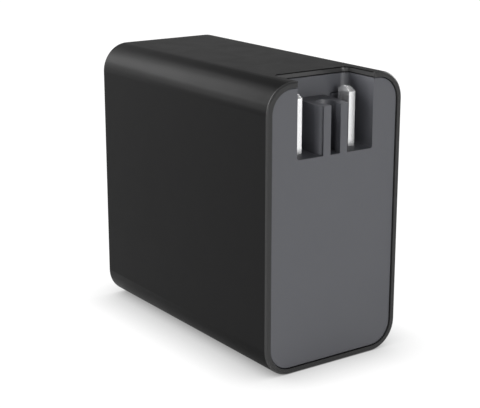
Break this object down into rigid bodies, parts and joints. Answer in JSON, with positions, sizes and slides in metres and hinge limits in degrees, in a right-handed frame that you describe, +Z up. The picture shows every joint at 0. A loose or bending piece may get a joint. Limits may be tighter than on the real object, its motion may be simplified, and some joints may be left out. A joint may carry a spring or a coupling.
{
  "type": "usb-c wall charger",
  "caption": "Upright black charger block with grey inset ends: a plug dock with upright contact blades and a keyhole guide behind, and USB-C receptacles in front.",
  "frame": {"origin": "middle of the underside, on the surface that the charger stands on", "axes": "+Z up, +X across the width, +Y towards the end with the USB-C receptacles, -Y towards the end with the plug dock"},
  "size_m": [0.032, 0.06, 0.0565],
  "materials": {
    "sleeve_black": "fine satin moulded grain",
    "cap_grey": "fine matt moulded grain",
    "contact_nickel": "polished nickel plate",
    "port_steel": "bright drawn steel",
    "port_black": "moulded",
    "port_gold": "gold plate",
    "board_green": "solder mask over glass fibre",
    "link_black": "moulded",
    "sheet_white": "plain sheet",
    "ferrite": "sintered",
    "winding_copper": "enamelled copper wire",
    "can_aluminium": "drawn can",
    "dipped_blue": "dipped",
    "film_yellow": "moulded box",
    "fuse_brown": "moulded",
    "pad_grey": "soft",
    "spreader_aluminium": "rolled sheet"
  },
  "bodies": {
    "root": {"sleeve": "sleeve_black", "rear_cap": "cap_grey", "front_cap": "cap_grey", "blade_left": "contact_nickel", "blade_right": "contact_nickel", "usb_c_shell_lower": "port_steel", "usb_c_shell_middle": "port_steel", "usb_c_shell_upper": "port_steel", "usb_c_tongue_lower": "port_black", "usb_c_tongue_middle": "port_black", "usb_c_tongue_upper": "port_black", "usb_c_contacts_lower": "port_gold", "usb_c_contacts_middle": "port_gold", "usb_c_contacts_upper": "port_gold", "main_board": "board_green", "port_board": "board_green", "inlet_board": "board_green", "board_link": "link_black", "transformer_bobbin": "link_black", "optocoupler": "link_black", "power_switch": "link_black", "rectifier_switch": "link_black", "control_chip": "link_black", "bridge_rectifier": "link_black", "insulation_sheet": "sheet_white", "transformer_core": "ferrite", "choke_core": "ferrite", "output_inductor_lower": "ferrite", "output_inductor_middle": "ferrite", "output_inductor_upper": "ferrite", "transformer_winding": "winding_copper", "choke_winding": "winding_copper", "bulk_capacitor_lower": "can_aluminium", "bulk_capacitor_middle": "can_aluminium", "bulk_capacitor_upper": "can_aluminium", "output_capacitor_lower": "can_aluminium", "output_capacitor_middle": "can_aluminium", "output_capacitor_upper": "can_aluminium", "y_capacitor": "dipped_blue", "thermistor": "dipped_blue", "x_capacitor": "film_yellow", "fuse": "fuse_brown", "thermal_pad": "pad_grey", "heat_spreader": "spreader_aluminium"}
  },
  "joints": []
}
